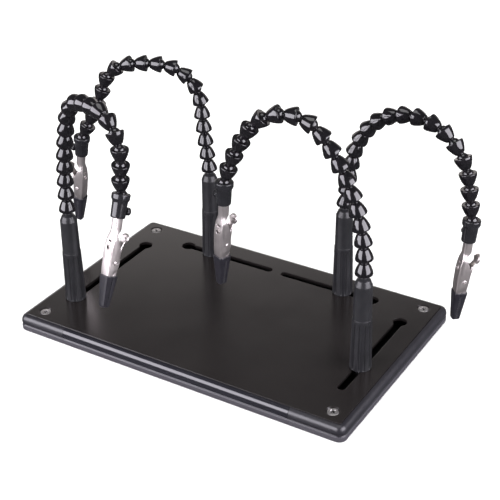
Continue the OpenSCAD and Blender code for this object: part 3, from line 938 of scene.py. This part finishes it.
def jaw_mesh():
    """The fixed jaw and its shank: one strip bent into a channel that opens towards the lever."""
    o = FERRULE_L
    table = [(o - 6, 2.7, -2.7, 2.5, 1.6), (o + 8.5, 2.7, -2.7, 2.5, 1.6), (o + 10, 3.0, -2.8, 0.2, 1.4),
             (o + 12, 3.7, -3.1, -0.4, 1.2), (o + 13.5, 4.1, -3.3, 0.6, 1.1), (o + 18, 4.2, -4.0, 2.7, 1.1),
             (o + 22, 4.2, -4.3, 3.6, 1.1), (o + 30, 4.2, -4.3, 3.9, 1.1), (o + 34.5, 4.15, -4.1, 3.2, 1.1),
             (o + 37, 3.95, -3.9, -0.2, 1.1), (o + 57, 2.35, -2.0, -0.2, 0.9)]
    window = box(8, 2.6, 1.3, Matrix.Translation((-3, 0, o + 15.2)))
    hole = rod(1.3, 8, Matrix.Translation((-4, 0, HOLE_C)) @ ACROSS)
    pin_hole = rod(1.0, 12, PIVOT)
    return worked(channel(sections(table)), "jaw", [window, hole, pin_hole], METAL, 0.12)


def hole_rim():
    """The raised rim of the round hole in the jaw's back."""
    rim_r, bead_r, sides = 1.55, 0.28, 12
    turns = [TAU * k / sides for k in range(sides)]
    ring = [Vector((rim_r + bead_r * math.cos(t), bead_r * math.sin(t))) for t in turns]
    shape = Shape()
    shape.add(*lathe(ring, 32, closed=True), Matrix.Translation((-4.15, 0, HOLE_C)) @ ACROSS)
    return mesh_of(shape)


def lever_mesh():
    """The moving jaw: a narrower channel inside the fixed one, with its back towards the lever's side."""
    o = FERRULE_L
    table = [(o + 18.5, 2.6, 5.6, 4.9, 0.8), (o + 20, 3.2, 5.75, 4.2, 0.9),
             (o + 24.6, 3.38, 4.95, 1.0, 0.9), (o + 27, 3.38, 4.8, -1.8, 0.9),
             (o + 31.5, 3.38, 4.45, -1.8, 0.9), (o + 33.5, 3.3, 4.3, 2.2, 0.9),
             (o + 38, 3.2, 3.9, 0.2, 0.9), (o + 57, 2.3, 2.1, 0.2, 0.8)]
    shape = channel(sections(table))
    shape.faces = [tuple(reversed(f)) for f in shape.faces]
    return worked(shape, "lever", [rod(1.05, 12, PIVOT)], METAL, 0.1)


def tongue_mesh():
    """The strip that runs from the moving jaw's back to the thumb pad."""
    o = FERRULE_L
    line = rounded([(4.95, o + 22.5), (5.75, o + 18.6, 1.5), (8.1, o + 15.2, 2.0), (7.95, o + 12.4)], 6)
    half_widths = [(0, 2.9), (0.3, 2.6), (0.6, 2.2), (0.8, 2.3), (1, 3.0)]
    crown = 0.35
    loops = []
    for i, p in enumerate(line):
        half = between(i / (len(line) - 1), half_widths)
        ahead = line[min(i + 1, len(line) - 1)] - line[max(i - 1, 0)]
        out = Vector((ahead.y, -ahead.x)).normalized()
        if out.x < 0:
            out = -out
        loop = []
        for k in range(-4, 5):
            share = k / 4
            rise = out * crown * (1 - share ** 2)
            loop.append((p.x + rise.x, half * share, p.y + rise.y))
        loops.append(loop)
    shape = Shape()
    shape.add(*rings(loops, closed_ring=False))
    return worked(shape, "tongue", thickness=METAL * 0.9, bevel=0.1)


def pad_mesh():
    """A round dished pad with a rolled rim, facing outwards."""
    line = rounded([(0, 0), (2.5, 0, 0.5), (3.3, 0.35, 0.6), (3.6, 1.35, 0.3), (3.42, 1.65, 0.25),
                    (3.1, 1.4, 0.25), (2.85, 0.85, 0.5), (2.3, 0.6, 0.4), (0, 0.55)], 4)
    matrix = Matrix.Translation((7.6, 0, FERRULE_L + 13.6)) @ Matrix.Rotation(math.radians(76), 4, "Y")
    shape = Shape()
    shape.add(*lathe(line, 48), matrix)
    return mesh_of(shape)


def pin_mesh():
    """A pin with domed heads, each with a cross punched into it."""
    pin_r, end_z = 1.0, 4.75
    head = [(1.5, 4.22), (1.45, 4.35, 0.2), (0.9, 4.7, 0.3), (0, end_z)]
    tail = [(p[0], -p[1], *p[2:]) for p in reversed(head)]
    line = rounded(tail + [(pin_r, -4.2), (pin_r, 4.2)] + head, 3)
    shape = Shape()
    shape.add(*lathe(line, 32), PIVOT)
    cutters = []
    for end in SIGNS:
        for turn in (20, 110):
            spot = PIVOT @ Matrix.Translation((0, 0, end * end_z))
            cutters.append(box(2.3, 0.38, 0.5, spot @ Matrix.Rotation(math.radians(turn), 4, "Z")))
    return worked(shape, "pin", cutters, bevel=0.04, steps=1)


def spring_mesh():
    """A torsion spring's coils round the pin, with a leg that runs back and one towards the tip."""
    wire, coil_r, pitch, turns, per_turn = 0.35, 1.75, 0.78, 4, 20
    start = -pitch * turns / 2
    path = []
    for k in range(turns * per_turn + 1):
        t = TAU * k / per_turn
        path.append(Vector((PIVOT_U + coil_r * math.cos(t), start + pitch * k / per_turn,
                            PIVOT_C + coil_r * math.sin(t))))
    rear_leg = Vector((PIVOT_U + 0.6, start, PIVOT_C - 5))
    tip_leg = Vector((PIVOT_U + coil_r - 3.6, -start, PIVOT_C + 6))
    return tube([rear_leg, *path, tip_leg], wire, 10)


def boot_mesh(side):
    """A moulded sleeve over one jaw's end, with ribs along the gap. side is -1 for the fixed jaw."""
    start, tip = FERRULE_L + 38, FERRULE_L + 60
    steps, round_l, gap = 88, 1.6, 0.15
    rib_depth, rib_pitch = 0.28, 1.5
    loops = []
    for k in range(steps + 1):
        z = start + (tip - start) * k / steps
        along = z - start
        share = along / (tip - start)
        end_round = math.sqrt(max(0.0, 1 - max(0.0, (z - (tip - round_l)) / round_l) ** 2))
        mouth = 1 - 0.05 * max(0.0, 1 - along / 0.5)
        half = (4.75 - 2.2 * share) * (0.35 + 0.65 * end_round) * mouth
        deep = (4.7 - 2.0 * share) * (0.55 + 0.45 * end_round) * mouth
        rib = rib_depth * (math.sin(TAU * along / rib_pitch) > 0.1) * (2.0 < along < 20.0)
        edge = [(gap, half - rib), (gap + 0.55, half - rib * 0.6, 0.3), (gap + 1.0, half, 0.4),
                (deep, half, 2.6)]
        line = rounded(edge + [(p[0], -p[1], *p[2:]) for p in reversed(edge)], 5)
        loops.append([(side * p.x, p.y, z) for p in line])
    shape = Shape()
    shape.add(*rings(loops, caps=True))
    return mesh_of(shape)


def build_clips(looks):
    """Every piece from the ferrule to the boots, on each arm."""
    # Piece: its mesh, body, slot, look and the nodes that it replaces
    parts = {
        "sleeve": (ferrule_mesh(), "clip", "post_black", "sleeve", ["ferrule"]),
        "fixed_jaw": (jaw_mesh(), "clip", "clip_nickel", "nickel", ["clip_jaw"]),
        "hole_rim": (hole_rim(), "clip", "clip_nickel", "nickel", []),
        "pivot_pin": (pin_mesh(), "clip", "steel", "nickel", ["clip_pin"]),
        "coil_spring": (spring_mesh(), "clip", "steel", "steel", ["clip_spring"]),
        "fixed_boot": (boot_mesh(-1), "clip", "boot_rubber", "boot", ["jaw_boot"]),
        "moving_jaw": (lever_mesh(), "jaw", "clip_nickel", "nickel", ["clip_lever"]),
        "tongue": (tongue_mesh(), "jaw", "clip_nickel", "nickel", []),
        "thumb_pad": (pad_mesh(), "jaw", "clip_nickel", "nickel", []),
        "moving_boot": (boot_mesh(1), "jaw", "boot_rubber", "boot", ["lever_boot"]),
    }
    knob = knob_mesh()
    for arm in ARMS:
        matrix = clip_matrix(arm)
        for name, (data, body, slot, look, nodes) in parts.items():
            place(data, f"{arm}_{name}", f"{arm}_{body}", looks[look], matrix,
                  [f"{arm}_{node}" for node in nodes])
        place(knob, f"{arm}_knob", f"{arm}_clip", looks["sleeve"],
              matrix @ knob_turn(arm, matrix), [f"{arm}_thumb_screw"])


def knob_turn(arm, matrix):
    """The thumb screw's place in the clip's own axes, with +Z out along the screw."""
    low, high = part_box(f"{arm}_thumb_screw")
    centre = matrix.inverted() @ ((low + high) / 2)
    turn = math.atan2(centre.y, centre.x)
    return Matrix.Translation((0, 0, FERRULE_L - 4.2)) @ Matrix.Rotation(turn, 4, "Z") @ ACROSS


# ---- Scene ----

# The place that the lights face, in metres, and half the floor's width in millimetres
LIT_PLACE = (0, 0, 0.08)
FLOOR_HALF = 4000


def towards(azimuth, elevation):
    """The unit vector at an azimuth, turned from -Y towards +X, and an elevation, both in degrees."""
    az, el = math.radians(azimuth), math.radians(elevation)
    return Vector((math.sin(az) * math.cos(el), -math.cos(az) * math.cos(el), math.sin(el)))


def make_camera():
    """The camera, whose level axes are turned by the roll."""
    back = towards(AZIMUTH, ELEVATION)
    right = Vector((0, 0, 1)).cross(back).normalized()
    up = back.cross(right)
    level = Matrix((right, up, back)).transposed()
    camera = bpy.data.cameras.new("camera")
    camera.lens = LENS
    camera.sensor_width = 36
    obj = bpy.data.objects.new("camera", camera)
    roll = Matrix.Rotation(math.radians(ROLL), 4, "Z")
    obj.matrix_world = Matrix.Translation(CAMERA_AT) @ level.to_4x4() @ roll
    bpy.context.scene.collection.objects.link(obj)
    bpy.context.scene.camera = obj


def soft_light(name, azimuth, elevation, distance, width, height, watts, tint):
    """A rectangular softbox that faces the middle of the object, its azimuth counted from the camera's."""
    away = towards(AZIMUTH + azimuth, elevation)
    light = bpy.data.lights.new(name, "AREA")
    light.shape = "RECTANGLE"
    light.size = width
    light.size_y = height
    light.energy = watts
    light.color = tint
    obj = bpy.data.objects.new(name, light)
    obj.location = Vector(LIT_PLACE) + away * distance
    obj.rotation_euler = away.to_track_quat("Z", "Y").to_euler()
    bpy.context.scene.collection.objects.link(obj)


def make_floor():
    """A pale floor that glows more towards its far edges, like a light sweep."""
    floor = Shape()
    floor.add([(x * FLOOR_HALF, y * FLOOR_HALF, 0) for x, y in BOX_CORNERS], [(0, 1, 2, 3)])
    data = floor.mesh("floor")
    data.transform(TO_METRES)
    finish = Finish("pale_floor")
    finish.colour((0.84, 0.86, 0.81), (0.86, 0.88, 0.83), 300)
    finish.roughness(0.85, 0.9, 50)
    finish.glow_beyond(0.1, 0.8, 0.12, 0.6)
    data.materials.append(finish.material)
    obj = bpy.data.objects.new("floor", data)
    bpy.context.scene.collection.objects.link(obj)
    obj.visible_glossy = False


def make_studio():
    """A dim world, a softbox on each side, one behind, one above, and the floor."""
    world = bpy.data.worlds.new("studio")
    world.use_nodes = True
    background = world.node_tree.nodes["Background"]
    background.inputs["Color"].default_value = (0.9, 0.9, 0.93, 1)
    background.inputs["Strength"].default_value = 0.15
    bpy.context.scene.world = world
    lilac, warm, white = (0.95, 0.92, 1.0), (1.0, 0.93, 0.9), (1.0, 1.0, 1.0)
    soft_light("left_box", -62, 18, 1.1, 1.27, 0.8, 33, lilac)
    soft_light("right_box", 56, 18, 1.1, 1.17, 0.8, 30, lilac)
    soft_light("back_box", 180, 12, 1.5, 3.0, 0.8, 8, warm)
    soft_light("top_box", 0, 88, 1.5, 0.9, 0.9, 8, white)
    make_floor()
    bpy.context.scene.view_settings.view_transform = "Standard"


make_camera()
make_studio()
LOOKS = {"plate": plate_finish(), "frame": frame_finish(), "rail": rail_finish(), "cover": cover_finish(),
         "screw": screw_finish(), "foot": foot_finish(), "post": post_finish(), "sleeve": sleeve_finish(),
         "bead": bead_finish(), "nickel": nickel_finish(), "steel": steel_finish(), "boot": boot_finish()}
build_base(LOOKS)
build_posts(LOOKS)
build_chains(LOOKS)
build_clips(LOOKS)
